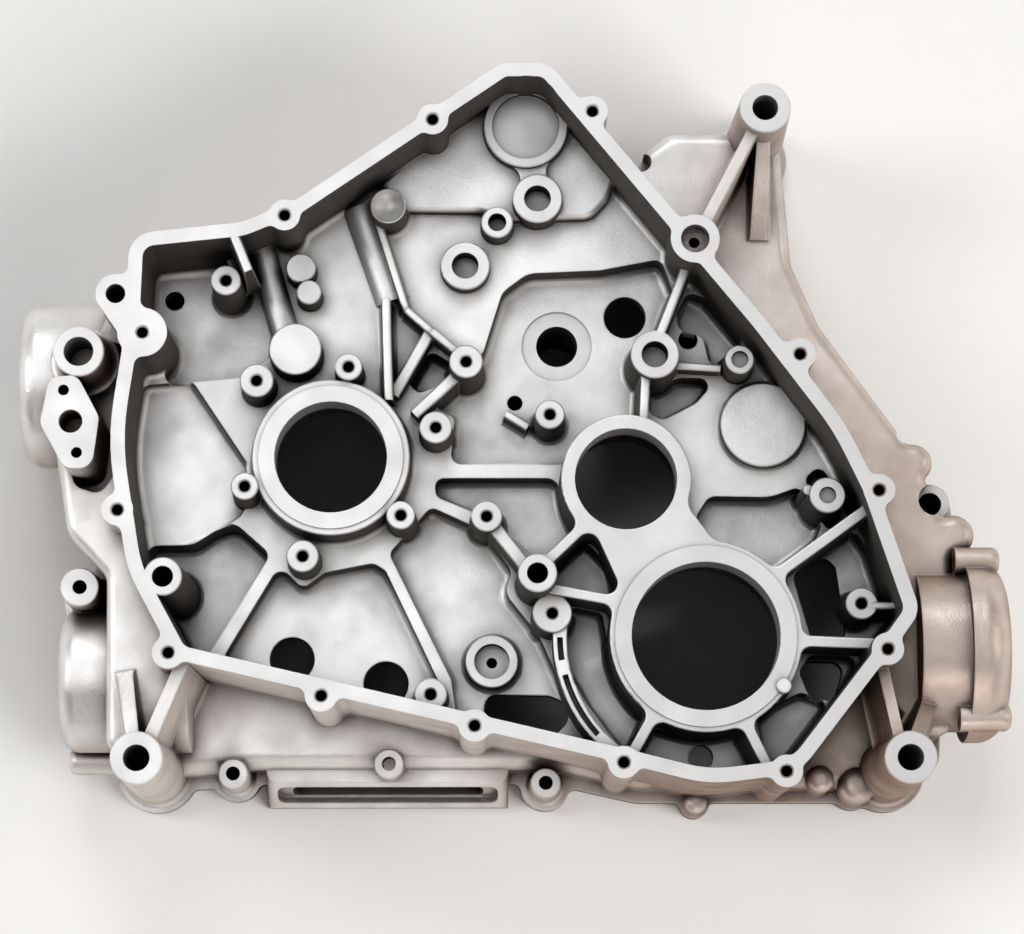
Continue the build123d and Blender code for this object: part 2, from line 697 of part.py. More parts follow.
def boss(at, radius, floor, top, foot=FOOT_FILLET):
    """Round boss with a little draft, a rounded foot and a small edge round its top."""
    spread = radius + (top - floor) * math.tan(math.radians(DRAFT_DEG))
    base = floor - FOOT_BITE
    edge = min(TOP_CHAMFER, radius / 6)
    profile = Polyline(
        (0, base - EMBED),
        (spread + foot, base - EMBED),
        (spread + foot, base),
    )
    arc = RadiusArc((spread + foot, base), (spread, base + foot), foot)
    rest = Polyline(
        (spread, base + foot),
        (radius, top - edge),
        (radius - edge, top),
        (0, top),
        (0, base - EMBED),
    )
    half = make_face(Plane.XZ * (profile + arc + rest))
    return Pos(at[0], at[1]) * revolve(half, Axis.Z)


def rib(start, end, width, floor, top, foot=FOOT_FILLET):
    """Straight rib with draft, a rounded foot and rounded top edges."""
    length = math.dist(start, end)
    turn = math.degrees(math.atan2(end[1] - start[1], end[0] - start[0]))
    half = width / 2
    spread = half + (top - floor) * math.tan(math.radians(DRAFT_DEG))
    base = floor - FOOT_BITE
    round_top = min(EDGE_FILLET, half * 0.6)
    sides = []
    for side in (1, -1):
        sides += [
            Line((side * (spread + foot), base - EMBED), (side * (spread + foot), base)),
            RadiusArc((side * (spread + foot), base), (side * spread, base + foot), side * foot),
            Line((side * spread, base + foot), (side * half, top - round_top)),
            RadiusArc((side * half, top - round_top), (side * (half - round_top), top), -side * round_top),
        ]
    top_edge = Line((half - round_top, top), (round_top - half, top))
    bottom_edge = Line((spread + foot, base - EMBED), (-spread - foot, base - EMBED))
    section = make_face(Curve() + sides + [top_edge, bottom_edge])
    bar = extrude(Plane.YZ * section, amount=length)
    return Pos(start[0], start[1]) * Rot(0, 0, turn) * bar


def gusset(start, end, width, floor, high, low):
    """Rib with a top that slopes from one height at its start to another at its end."""
    length = math.dist(start, end)
    turn = math.degrees(math.atan2(end[1] - start[1], end[0] - start[0]))
    base = floor - EMBED * 2
    side = make_face(Polyline((0, base), (0, high), (length, low), (length, base), close=True))
    slab = extrude(Plane.XZ * side, amount=width + FOOT_FILLET * 2, both=True)
    return rib(start, end, width, floor, max(high, low)) & (Pos(start[0], start[1]) * Rot(0, 0, turn) * slab)


def strip(start, end, width):
    """Flat bar from one place to another."""
    middle = ((start[0] + end[0]) / 2, (start[1] + end[1]) / 2)
    turn = math.degrees(math.atan2(end[1] - start[1], end[0] - start[0]))
    return Pos(middle[0], middle[1]) * Rot(0, 0, turn) * Rectangle(math.dist(start, end), width)


def ring_part(centre, radius, width, angles):
    """Flat part of a ring between two angles."""
    reach = (radius + width) * 2
    corners = [(0, 0)]
    corners += [
        (reach * math.cos(math.radians(angle)), reach * math.sin(math.radians(angle))) for angle in angles
    ]
    ring = Circle(radius + width / 2) - Circle(radius - width / 2)
    return Pos(centre[0], centre[1]) * (ring & make_face(Polyline(*corners, close=True)))


def dome(at, radius, low, top):
    """Round lump with a domed top."""
    return rounded_top(cylinder(at, radius, low, top), radius * DOME_SHARE)


def pipe(start, end, radius, height):
    """Round bar with its axis at one height, from one place to another."""
    turn = math.degrees(math.atan2(end[1] - start[1], end[0] - start[0]))
    bar = Cylinder(radius, math.dist(start, end), align=(Align.CENTER, Align.CENTER, Align.MIN))
    return Pos(start[0], start[1], height) * Rot(0, 0, turn) * Rot(0, 90, 0) * bar


def tapped_hole(at, top, tap_radius, mouth_radius, depth):
    """Blind threaded hole, with a countersunk mouth and a drill point."""
    chamfer = mouth_radius - tap_radius
    half = make_face(
        Polyline(
            (0, top + OVERCUT),
            (mouth_radius + OVERCUT, top + OVERCUT),
            (tap_radius, top - chamfer),
            (tap_radius, top - depth),
            (0, top - depth - tap_radius * 0.6),
            close=True,
        )
    )
    return Pos(at[0], at[1]) * revolve(Plane.XZ * half, Axis.Z)


def drum(x_range, y, z, radius, edge):
    """Round housing with its axis along X and a rounded outer rim."""
    length = x_range[1] - x_range[0]
    body = Cylinder(radius, length, align=(Align.CENTER, Align.CENTER, Align.MIN))
    body = Pos(x_range[0], y, z) * Rot(0, 90, 0) * body
    outer_face = body.faces().sort_by(Axis.X)[0 if x_range[0] < 0 else -1]
    return fillet(outer_face.edges(), edge)


def side_bore(x, y, z, radius, depth):
    """Cutter along X, as deep inward as it stands out."""
    return Pos(x, y, z) * Rot(0, 90, 0) * Cylinder(radius, depth * 2)


def above_split(solid):
    """Cuts away whatever reaches below the split face."""
    size = solid.bounding_box().size
    middle = solid.bounding_box().center()
    box = Box(size.X + OVERCUT, size.Y + OVERCUT, size.Z, align=(Align.CENTER, Align.CENTER, Align.MAX))
    return solid - Pos(middle.X, middle.Y, 0) * box


# Flat outlines
flange_line = flat(FLANGE_CORNERS)
cover_bosses = [disc(at, COVER_BOLT_BOSS_R) for at in COVER_BOLTS]
cover_bosses += [disc(DOWEL_BOLT_AT, DOWEL_BOLT_BOSS_R), disc(CORNER_BOLT_AT, CORNER_BOLT_BOSS_R)]
lug = make_hull([*disc(LUG_BOLT_AT, LUG_R).edges(), *disc(CORNER_BOLT_AT, LUG_R).edges()])
rim_outline = hollows_rounded(flange_line + cover_bosses + lug, CORNER_FILLET)
cover_space = offset(flange_line, amount=-COVER_WALL, kind=Kind.INTERSECTION) - cover_bosses
cover_space = corners_rounded(cover_space, CORNER_FILLET)


def floor_pocket(outline, bottom):
    """Cutter for a sunken area of the cover floor that stops at the flange wall."""
    region = corners_rounded(cover_space & outline, POCKET_CORNER)
    return rounded_floor(prism(region, bottom, MAIN_FLOOR_Z + POCKET_FILLET), POCKET_FILLET)


# Outer body
case_line = flat(CASE_CORNERS)
ears = [disc(at, MOUNT_EAR_R) for at in MOUNTS]
ears += [disc(at, LOWER_CASE_BOLT_EAR_R) for at in LOWER_CASE_BOLTS]
ears += [disc(at, SIDE_CASE_BOLT_EAR_R) for at, radius, top, bore in SIDE_CASE_BOLTS]
ears += [disc(at, radius + LUMP_EAR_WIDTH) for at, radius, top in EDGE_LUMPS]
base = prism(hollows_rounded(case_line + ears, CORNER_FILLET), 0, SPLIT_FLANGE_Z)
shelf_line = offset(case_line, amount=-SHELF_SETBACK, kind=Kind.ARC)
shelf = rounded_top(prism(shelf_line, 0, SHELF_Z), SHELF_EDGE_FILLET)
right_line = flat(RIGHT_BODY_CORNERS) + [disc(at, radius) for at, radius in RIGHT_BODY_BUMPS]
right_line = hollows_rounded(right_line, CORNER_FILLET)
right_body = rounded_top(prism(right_line, 0, RIGHT_SHOULDER_Z), RIGHT_BODY_EDGE)
left_body = rounded_top(prism(flat(LEFT_BODY_CORNERS), 0, LEFT_SHOULDER_Z), LEFT_BODY_EDGE)
rim = prism(rim_outline, 0, COVER_FACE_Z)
RIGHT_FLANGE_X = (RIGHT_DRUM_X[1] - RIGHT_DRUM_FLANGE, RIGHT_DRUM_X[1])
drums = [
    drum(LEFT_DRUM_X, LEFT_DRUM_Y, LEFT_DRUM_Z, LEFT_DRUM_R, DRUM_EDGE),
    drum(FILTER_HOUSING_X, FILTER_HOUSING_Y, FILTER_HOUSING_Z, FILTER_HOUSING_R, DRUM_EDGE),
    drum(RIGHT_DRUM_X, RIGHT_DRUM_Y, RIGHT_DRUM_Z, RIGHT_DRUM_NECK_R, DRUM_EDGE),
    drum(RIGHT_FLANGE_X, RIGHT_DRUM_Y, RIGHT_DRUM_Z, RIGHT_DRUM_R, RIGHT_DRUM_EDGE),
]
drums += [drum(x_range, y, z, DRUM_LUG_R, DRUM_LUG_EDGE) for x_range, y, z in DRUM_LUGS]
crankcase = base + [shelf, right_body, left_body, rim] + [above_split(body) for body in drums]

# Cover space: floor, step near the top corner and sunken areas
crankcase -= rounded_floor(prism(cover_space, MAIN_FLOOR_Z, ABOVE), FLOOR_FILLET)
pockets = [floor_pocket(flat(corners), bottom) for bottom, corners in POCKETS]
crankcase -= pockets

# Hubs, ribs and bosses that stand on the floor
standing = [
    boss(LEFT_BORE_AT, LEFT_HUB_R, MAIN_FLOOR_Z, LEFT_HUB_Z - RING_STEP, POCKET_FILLET),
    boss(MIDDLE_BORE_AT, MIDDLE_HUB_R - WEB_INSET, LOW_FLOOR_Z, RIGHT_HUB_Z - RING_STEP, POCKET_FILLET),
    boss(LARGE_BORE_AT, LARGE_HUB_R - WEB_INSET, LOW_FLOOR_Z, RIGHT_HUB_Z - RING_STEP, POCKET_FILLET),
]
hubs_line = disc(MIDDLE_BORE_AT, MIDDLE_HUB_R) + disc(LARGE_BORE_AT, LARGE_HUB_R) + flat(HUB_BRIDGE_CORNERS)
hubs_line = hollows_rounded(hubs_line, HUB_BRIDGE_FILLET)
web_line = hubs_line + [hollows_rounded(hubs_line + strip(*row), WEB_FILLET) for row in HUB_RIBS]
web = rounded_top(prism(web_line, LOW_FLOOR_Z - FOOT_BITE, RIGHT_HUB_Z), WEB_EDGE)
curved_wall = ring_part(LARGE_BORE_AT, CURVED_WALL_R, CURVED_WALL_WIDTH, CURVED_WALL_ANGLES)
ring_neck = disc(TOP_RING_AT, TOP_RING_R) + disc(RING_NECK_TO, RING_NECK_END_R)
ring_neck = hollows_rounded(ring_neck + strip(TOP_RING_AT, RING_NECK_TO, RING_NECK_WIDTH), RING_NECK_FILLET)
standing += [
    cylinder(LEFT_BORE_AT, LEFT_RING_R, MAIN_FLOOR_Z, LEFT_HUB_Z),
    web,
    cylinder(LARGE_BORE_AT, LARGE_HUB_R - RING_INSET, LOW_FLOOR_Z, RIGHT_HUB_Z + RING_STEP),
    rounded_top(prism(curved_wall, LOW_FLOOR_Z - FOOT_BITE, WALL_TOP_Z), WEB_EDGE),
    rounded_top(prism(ring_neck, MAIN_FLOOR_Z - FOOT_BITE, RING_NECK_Z), WEB_EDGE),
    boss(DISHED_BOSS_AT, DISHED_BOSS_R, MAIN_FLOOR_Z, DISHED_BOSS_Z),
    rounded_top(prism(flat(UPPER_STEP_CORNERS), LOW_FLOOR_Z, UPPER_FLOOR_Z), FLOOR_FILLET),
    boss(TOP_RING_AT, TOP_RING_R, MAIN_FLOOR_Z, TOP_RING_Z),
    boss(ROUND_FIELD_AT, ROUND_FIELD_R, MAIN_FLOOR_Z, ROUND_FIELD_Z, FLOOR_FILLET),
    rib(*TONGUE, MAIN_FLOOR_Z, COVER_FACE_Z),
]
standing += [rib(*row) for row in RIBS]
standing += [
    rib(start, end, width - WEB_INSET * 2, LOW_FLOOR_Z, RIGHT_HUB_Z - RING_STEP)
    for start, end, width in HUB_RIBS
]
standing += [boss(at, radius, LOW_FLOOR_Z, top) for at, radius, top in SMALL_BOSSES]
standing += [boss(at, radius, LOW_FLOOR_Z, top) for at, radius, bore, top, depth in WIDE_BOSSES]
standing += [boss(at, radius, LOW_FLOOR_Z, top) for at, radius, top in ROUND_PADS]
inside = prism(rim_outline, DEEP_FLOOR_Z - EMBED, COVER_FACE_Z)
inner_features = [solid & inside for solid in standing]
crankcase += inner_features

# Half-round pipes over the floor
crankcase += [pipe(*row) & inside for row in PIPES]

# Features outside the cover flange
outside = [gusset(*row) for row in OUTER_RIBS]
outside += [boss(at, MOUNT_BOSS_R, SPLIT_FLANGE_Z, MOUNT_TOP_Z) for at in MOUNTS]
outside += [dome(at, radius, 0, top) for at, radius, top in EDGE_LUMPS]
outside += [boss(at, LOWER_CASE_BOLT_BOSS_R, SPLIT_FLANGE_Z, CASE_BOLT_TOP_Z) for at in LOWER_CASE_BOLTS]
outside += [boss(at, radius, SPLIT_FLANGE_Z, top) for at, radius, top, bore in SIDE_CASE_BOLTS]
outside += [boss(PORT_AT, PORT_BOSS_R, LEFT_SHOULDER_Z, PORT_FACE_Z)]
outside += [boss(at, TALL_BOLT_BOSS_R, DEEP_FLOOR_Z, COVER_FACE_Z) for at in TALL_BOLTS]
outside += [prism(flat(RHOMB_PLATE_CORNERS), TROUGH_FLOOR_Z - EMBED, PORT_FACE_Z)]
sump_profile = Polyline(
    (SUMP_WALL_Y, SUMP_PAD_BOTTOM_Z),
    (SUMP_PAD_LOWER_EDGE[0], SUMP_PAD_BOTTOM_Z),
    SUMP_PAD_LOWER_EDGE,
    SUMP_PAD_UPPER_EDGE,
    (SUMP_WALL_Y, SUMP_PAD_UPPER_EDGE[1]),
    close=True,
)
sump_pad = extrude(Plane.YZ * make_face(sump_profile), amount=SUMP_PAD_X[1] - SUMP_PAD_X[0])
sump_pad = Pos(SUMP_PAD_X[0], 0, 0) * sump_pad
sump_middle_y = (SUMP_PAD_LOWER_EDGE[0] + SUMP_PAD_UPPER_EDGE[0]) / 2
pad_ends = [edge for edge in sump_pad.edges() if abs(edge.center().Y - sump_middle_y) < FOOT_BITE]
outside += [fillet(pad_ends, SUMP_PAD_END_FILLET)]
trough_line = corners_rounded(flat(TROUGH_CORNERS) - rim_outline, TROUGH_CORNER)
trough = rounded_floor(prism(trough_line, TROUGH_FLOOR_Z, COVER_FACE_Z), EDGE_FILLET)
crankcase -= trough
crankcase += outside

# Chambers open to the split face, with the posts of the long bolts left standing in them
crank_chamber = disc(LEFT_BORE_AT, CRANK_CHAMBER_R) + flat(SUMP_CHAMBER_CORNERS)
deep_outline = offset(flat(POCKETS[2][1]), amount=DEEP_ROOF, kind=Kind.ARC)
deep_roof = prism(deep_outline, DEEP_FLOOR_Z - DEEP_ROOF, CHAMBER_CEILING_Z + OVERCUT)
gear_chamber = flat(GEAR_CHAMBER_CORNERS)
posts = [cylinder(at, TALL_BOLT_BOSS_R, 0, CHAMBER_CEILING_Z) for at in TALL_BOLTS]
posts += [cylinder(at, SPLIT_POST_R, 0, CHAMBER_CEILING_Z) for at in SPLIT_BOLTS]
chambers = [
    prism(crank_chamber, BELOW, CHAMBER_CEILING_Z) - deep_roof,
    prism(gear_chamber, BELOW, CHAMBER_CEILING_Z),
    prism(flat(TIMING_CHAMBER_CORNERS), BELOW, CHAMBER_CEILING_Z),
    prism(flat(RIGHT_SIDE_CHAMBER_CORNERS), BELOW, CHAMBER_CEILING_Z),
    prism(flat(CORNER_CHAMBER_CORNERS), BELOW, CHAMBER_CEILING_Z),
    prism(flat(LEFT_GALLERY_CORNERS), BELOW, CHAMBER_CEILING_Z),
    prism(flat(LOWER_GALLERY_CORNERS), BELOW, CHAMBER_CEILING_Z),
    prism(flat(RIGHT_GALLERY_CORNERS), BELOW, CHAMBER_CEILING_Z),
    prism(flat(SUMP_TROUGH_CORNERS), BELOW, SUMP_TROUGH_CEILING_Z),
]
crankcase -= [chamber - posts for chamber in chambers]

# Bores and openings
through = (BELOW, ABOVE)
holes = [
    cylinder(LEFT_BORE_AT, LEFT_BORE_R, *through),
    cylinder(MIDDLE_BORE_AT, MIDDLE_BORE_R, *through),
    cylinder(LARGE_BORE_AT, LARGE_BORE_R, *through),
    cylinder(LEFT_BORE_AT, LEFT_BORE_R + BORE_RELIEF, BELOW, LEFT_HUB_Z - BORE_LENGTH),
    cylinder(MIDDLE_BORE_AT, MIDDLE_BORE_R + BORE_RELIEF, BELOW, RIGHT_HUB_Z - BORE_LENGTH),
    cylinder(LARGE_BORE_AT, LARGE_BORE_R + BORE_RELIEF, BELOW, RIGHT_HUB_Z - BORE_LENGTH),
    cylinder(SPOT_FACE_AT, SPOT_FACE_R, LOW_FLOOR_Z - SPOT_FACE_DEPTH, LOW_FLOOR_Z + EMBED),
    cylinder(TOP_RING_AT, TOP_RING_RECESS_R, TOP_RING_Z - TOP_RING_RECESS_DEPTH, ABOVE),
    cylinder(OIL_JET_AT, OIL_JET_R, BELOW, MAIN_FLOOR_Z),
    cylinder(LUG_BOLT_AT, LUG_HOLE_R, *through),
    cylinder(DOWEL_BOLT_AT, DOWEL_R, COVER_FACE_Z - DOWEL_DEPTH, ABOVE),
    cylinder(PORT_AT, PORT_BORE_R, PORT_FACE_Z - PORT_DEPTH, ABOVE),
    Pos(DISHED_BOSS_AT[0], DISHED_BOSS_AT[1], DISHED_BOSS_Z + DISH_R - DISH_DEPTH) * Sphere(DISH_R),
]
slots = [ring_part(LARGE_BORE_AT, CURVED_WALL_R, WALL_SLOT_WIDTH, angles) for angles in WALL_SLOTS]
holes += [prism(slot, WALL_TOP_Z - WALL_SLOT_DEPTH, ABOVE) for slot in slots]
holes += [cylinder(at, radius, bottom, ABOVE) for at, radius, bottom in EDGE_NOTCHES]
holes += [cylinder(at, radius, BELOW, MAIN_FLOOR_Z + EMBED) for at, radius in FLOOR_HOLES]
holes += [prism(flat(corners), BELOW, LOW_FLOOR_Z + FOOT_FILLET) for corners in WINDOWS]
holes += [cylinder(at, MOUNT_BORE_R, *through) for at in MOUNTS]
holes += [cylinder(at, CASE_BOLT_R, *through) for at in LOWER_CASE_BOLTS]
holes += [cylinder(at, bore, *through) for at, radius, top, bore in SIDE_CASE_BOLTS]
holes += [cylinder(at, TALL_BOLT_BORE_R, *through) for at in TALL_BOLTS]
holes += [cylinder(at, radius, PORT_FACE_Z - RHOMB_HOLE_DEPTH, ABOVE) for at, radius in RHOMB_HOLES]
holes += [cylinder(at, bore, top - depth, top + OVERCUT) for at, radius, bore, top, depth in WIDE_BOSSES]
holes += [cylinder(at, CASE_BOLT_R, BELOW, SPLIT_BOLT_DEPTH) for at in SPLIT_BOLTS]
holes += [cylinder(at, SPLIT_DOWEL_R, BELOW, SPLIT_DOWEL_DEPTH) for at in SPLIT_DOWELS]
tapped = [
    tapped_hole(at, COVER_FACE_Z, COVER_BOLT_TAP_R, COVER_BOLT_MOUTH_R, COVER_BOLT_DEPTH)
    for at in COVER_BOLTS + [DOWEL_BOLT_AT, CORNER_BOLT_AT]
]
tapped += [
    tapped_hole(at, top, SMALL_BOLT_R, SMALL_BOLT_MOUTH_R, SMALL_BOLT_DEPTH)
    for at, radius, top in SMALL_BOSSES
]
crankcase -= holes
crankcase -= tapped

# Bores of the round housings
housings = [
    (LEFT_DRUM_X[0], LEFT_DRUM_Y, LEFT_DRUM_Z, LEFT_DRUM_BORE_R, LEFT_DRUM_BORE_DEPTH),
    (RIGHT_DRUM_X[1], RIGHT_DRUM_Y, RIGHT_DRUM_Z, RIGHT_DRUM_BORE_R, RIGHT_DRUM_BORE_DEPTH),
    (
        FILTER_HOUSING_X[0],
        FILTER_HOUSING_Y,
        FILTER_HOUSING_Z,
        FILTER_HOUSING_BORE_R,
        FILTER_HOUSING_BORE_DEPTH,
    ),
]
side_cuts = [side_bore(*row) for row in housings]
for x_range, y, z in DRUM_LUGS:
    outer_end = x_range[0] if x_range[0] < 0 else x_range[1]
    side_cuts += [side_bore(outer_end, y, z, DRUM_LUG_HOLE_R, DRUM_LUG_HOLE_DEPTH)]

# Sump opening, with a wider recess round it
pad_rise = SUMP_PAD_UPPER_EDGE[1] - SUMP_PAD_LOWER_EDGE[1]
pad_run = SUMP_PAD_UPPER_EDGE[0] - SUMP_PAD_LOWER_EDGE[0]
pad_lean = math.degrees(math.atan2(pad_run, pad_rise))
sump_middle_z = (SUMP_PAD_LOWER_EDGE[1] + SUMP_PAD_UPPER_EDGE[1]) / 2
for x_range, height, depth, drop in (
    (SUMP_RECESS_X, SUMP_RECESS_HEIGHT, SUMP_RECESS_DEPTH, 0),
    (SUMP_OPENING_X, SUMP_OPENING_HEIGHT, SUMP_OPENING_DEPTH, SUMP_OPENING_DROP),
):
    cutter = Box(x_range[1] - x_range[0], depth * 2, height)
    cutter = Pos(0, 0, -drop) * fillet(cutter.edges().filter_by(Axis.Y), height / 3)
    side_cuts += [Pos(sum(x_range) / 2, sump_middle_y, sump_middle_z) * Rot(-pad_lean, 0, 0) * cutter]
crankcase -= side_cuts

# The middle of the base becomes the origin
box = crankcase.bounding_box()
crankcase = Pos(-(box.min.X + box.max.X) / 2, -(box.min.Y + box.max.Y) / 2, -box.min.Z) * crankcase

os.makedirs("parts", exist_ok=True)
export_step(crankcase, "parts/crankcase.step")
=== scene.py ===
import math

import bmesh
import bpy
from mathutils import Matrix, Vector


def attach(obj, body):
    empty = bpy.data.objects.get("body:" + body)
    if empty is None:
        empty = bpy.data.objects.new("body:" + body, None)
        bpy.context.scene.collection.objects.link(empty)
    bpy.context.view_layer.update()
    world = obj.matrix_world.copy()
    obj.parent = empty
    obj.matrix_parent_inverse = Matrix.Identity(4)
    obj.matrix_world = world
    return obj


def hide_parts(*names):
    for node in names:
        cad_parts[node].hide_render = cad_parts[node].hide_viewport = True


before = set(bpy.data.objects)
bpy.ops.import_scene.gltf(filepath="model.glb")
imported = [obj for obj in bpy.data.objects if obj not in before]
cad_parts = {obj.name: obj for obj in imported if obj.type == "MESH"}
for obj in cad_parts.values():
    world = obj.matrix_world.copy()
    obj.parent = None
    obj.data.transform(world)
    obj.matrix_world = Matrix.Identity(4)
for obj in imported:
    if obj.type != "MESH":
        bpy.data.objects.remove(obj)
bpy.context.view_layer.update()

MM = 0.001
# Plan origin of part.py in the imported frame, on the cover face
PLAN = Vector((-0.75, -18.25, 115.0)) * MM

# Heights of the machined faces above the split face, in mm
MACHINED_HEIGHTS = (115.0, 110.0, 101.0, 100.0, 0.0)
HEIGHT_TOLERANCE = 0.12

# Upward parts of a face's normal: level faces, upright walls, and faces that look up more than sideways
LEVEL_NORMAL = 0.9995
UPRIGHT_NORMAL = 0.02
UPWARD_NORMAL = 0.5

# Edges sharper than this stay sharp, and points closer than this, in metres, are joined
SMOOTH_ANGLE = math.radians(32.0)
WELD_DISTANCE = 2e-6

# Bosses and pads with a machined top: X, Y and radius, in mm on the plan
MACHINED_BOSSES = (
    (-83.5, 8.5, 37.0), (-132.5, 91.0, 7.5), (-118.0, 44.0, 8.0), (-75.5, 50.5, 7.0), (-35.0, 22.0, 8.0),
    (-51.0, -19.0, 7.0), (-96.0, -38.0, 8.0), (-123.0, -5.5, 7.0), (-21.0, 53.0, 8.0), (-11.5, -19.5, 7.5),
    (18.5, -64.5, 9.5), (18.0, 29.5, 7.5), (161.0, -59.5, 8.0), (-37.0, -102.0, 8.0), (66.5, 56.0, 12.0),
    (106.0, 54.0, 7.5), (145.5, -10.0, 9.0), (12.5, 133.0, 12.0), (-6.5, 121.5, 8.0), (-21.5, 102.0, 12.0),
    (-9.0, -83.5, 13.0), (22.0, 68.0, 17.0), (-158.0, -50.0, 9.5), (11.5, -48.5, 9.5), (-131.0, -133.5, 7.5),
    (-57.5, -129.0, 7.5), (16.5, -138.0, 7.5), (-200.0, -50.0, 9.5), (199.5, -6.5, 10.0), (7.0, 168.0, 21.0),
    (-100.5, 60.0, 12.3), (-98.5, 99.5, 7.1), (-94.5, 87.5, 5.9),
)

# Axes of the machined bores along Z: X, Y and largest radius, in mm on the plan
ROUND_BORES = (
    (-83.5, 8.5, 26.2),
    (52.5, -3.0, 23.7),
    (88.5, -75.5, 34.2),
    (118.0, 170.0, 6.2),
    (-169.0, -131.5, 6.2),
    (179.5, -131.5, 6.2),
    (84.5, 106.5, 6.8),
    (-198.5, 54.5, 7.0),
)

# Wider walls below the bearing bores: X, Y, radius of the bore and height of its lower end, in mm on the plan
BORE_RELIEFS = ((-83.5, 8.5, 26.0, 74.5), (52.5, -3.0, 23.5, 82.5), (88.5, -75.5, 34.0, 82.5))
RELIEF_WIDTH = 3.5

# Middle line of the cover flange wall, in mm on the plan
FLANGE_LINE = (
    (-172.5, 105.0), (-122.5, 110.5), (-97.0, 121.0), (-3.5, 186.5), (16.0, 186.5), (113.0, 67.0),
    (149.0, 19.0), (162.5, -9.0), (181.0, -66.0), (170.5, -80.0), (127.0, -135.0), (88.0, -140.5),
    (50.5, -131.0), (-150.0, -84.5), (-170.5, -46.0), (-180.5, 13.0), (-173.5, 62.0),
)

# Height of the roof of the chambers under the cover floor, in mm
CHAMBER_ROOF = 46.5

# Places of the finishes in the casting's list of materials
CAST = 0
MACHINED = 1
OUTER_SKIN = 2
# Dark painted shade for the unlit chambers, not a finish of the metal
CHAMBER_SHADE = 3


def near_one(x, y, circles):
    """Is this place inside one of these circles, each given as X, Y and radius?"""
    return any(math.hypot(x - cx, y - cy) < radius for cx, cy, radius in circles)


def under_hub(x, y, height):
    """Is this place on the wider wall below a bearing bore?"""
    low = [(bx, by, radius + RELIEF_WIDTH) for bx, by, radius, bottom in BORE_RELIEFS if height < bottom]
    return near_one(x, y, low)


def in_cover(x, y):
    """Is this place inside the cover flange?"""
    inside = False
    x1, y1 = FLANGE_LINE[-1]
    for x2, y2 in FLANGE_LINE:
        if (y1 > y) != (y2 > y) and x < (x2 - x1) * (y - y1) / (y2 - y1) + x1:
            inside = not inside
        x1, y1 = x2, y2
    return inside


def region(face):
    """Which finish a face of the casting has, or the dark painted shade of the chambers."""
    centre = face.calc_center_median()
    x = (centre.x - PLAN.x) / MM
    y = (centre.y - PLAN.y) / MM
    height = centre.z / MM
    upward = face.normal.z
    level = abs(upward) > LEVEL_NORMAL
    upright = abs(upward) < UPRIGHT_NORMAL
    at_machined_height = any(abs(height - known) < HEIGHT_TOLERANCE for known in MACHINED_HEIGHTS)
    if level and (at_machined_height or near_one(x, y, MACHINED_BOSSES)):
        return MACHINED
    if upright and near_one(x, y, ROUND_BORES):
        return MACHINED
    # Painted shade: the walls below the bearing bores take the dark chamber colour
    if upright and under_hub(x, y, height):
        return CHAMBER_SHADE
    if not in_cover(x, y):
        return OUTER_SKIN
    # Painted shade: faces under the chamber roof that don't look up take the dark chamber colour
    return CHAMBER_SHADE if height < CHAMBER_ROOF and upward < UPWARD_NORMAL else CAST


def make_casting(cad, materials):
    """The casting's own mesh, with smooth faces and each face's finish or painted chamber shade."""
    mesh = cad.data.copy()
    mesh.materials.clear()
    for material in materials:
        mesh.materials.append(material)
    mesh.name = "crankcase_casting"
    piece = bpy.data.objects.new("crankcase_casting", mesh)
    bpy.context.scene.collection.objects.link(piece)
    bm = bmesh.new()
    bm.from_mesh(mesh)
    bmesh.ops.remove_doubles(bm, verts=bm.verts, dist=WELD_DISTANCE)
    bm.normal_update()
    for face in bm.faces:
        face.smooth = True
        face.material_index = region(face)
    for edge in bm.edges:
        edge.smooth = len(edge.link_faces) == 2 and edge.calc_face_angle(0.0) <= SMOOTH_ANGLE
    bm.to_mesh(mesh)
    bm.free()
    weighted = piece.modifiers.new("even_normals", "WEIGHTED_NORMAL")
    weighted.mode = "FACE_AREA"
    weighted.weight = 80
    weighted.keep_sharp = True
    return piece


class Nodes:
    """Short helper for building a node tree."""

    def __init__(self, tree):
        self.tree = tree

    def put(self, socket, value):
        """Link a socket to another node's output, or give it a plain value."""
        if isinstance(value, bpy.types.NodeSocket):
            self.tree.links.new(value, socket)
        else:
            socket.default_value = value

    def add(self, kind, **sockets):
        """A node with these inputs, where i0 and i1 stand for the first and second input."""
        node = self.tree.nodes.new(kind)
        for name, value in sockets.items():
            numbered = name in ("i0", "i1")
            self.put(node.inputs[int(name[1]) if numbered else name], value)
        return node

    def noise(self, vector, scale, detail, roughness):
        node = self.add("ShaderNodeTexNoise", Vector=vector, Scale=scale, Detail=detail, Roughness=roughness)
        return node.outputs["Fac"]

    def ramp(self, value, stops):
        """Colours between two stops, each given as its place and colour."""
        node = self.add("ShaderNodeValToRGB", Fac=value)
        for element, (place, colour) in zip(node.color_ramp.elements, stops):
            element.position = place
            element.color = colour
        return node.outputs["Color"]

    def math(self, operation, a, b=0.0):
        node = self.add("ShaderNodeMath", i0=a, i1=b)
        node.operation = operation
        return node.outputs[0]

    def blend(self, a, a_share, b, b_share):
        """The sum of two values, each times its share."""
        return self.math("ADD", self.math("MULTIPLY", a, a_share), self.math("MULTIPLY", b, b_share))

    def mix(self, factor, a, b, blend="MIX"):
        node = self.tree.nodes.new("ShaderNodeMix")
        node.data_type = "RGBA"
        node.blend_type = blend
        # The factor and the two colours among a Mix node's inputs, and its colour output
        for index, value in ((0, factor), (6, a), (7, b)):
            self.put(node.inputs[index], value)
        return node.outputs[2]


def grey(value, warm=0.0):
    """A grey, a little redder and less blue where warm is above 0."""
    return (value * (1 + warm), value, value * (1 - warm), 1.0)


BLACK = grey(0.0)
WHITE = grey(1.0)

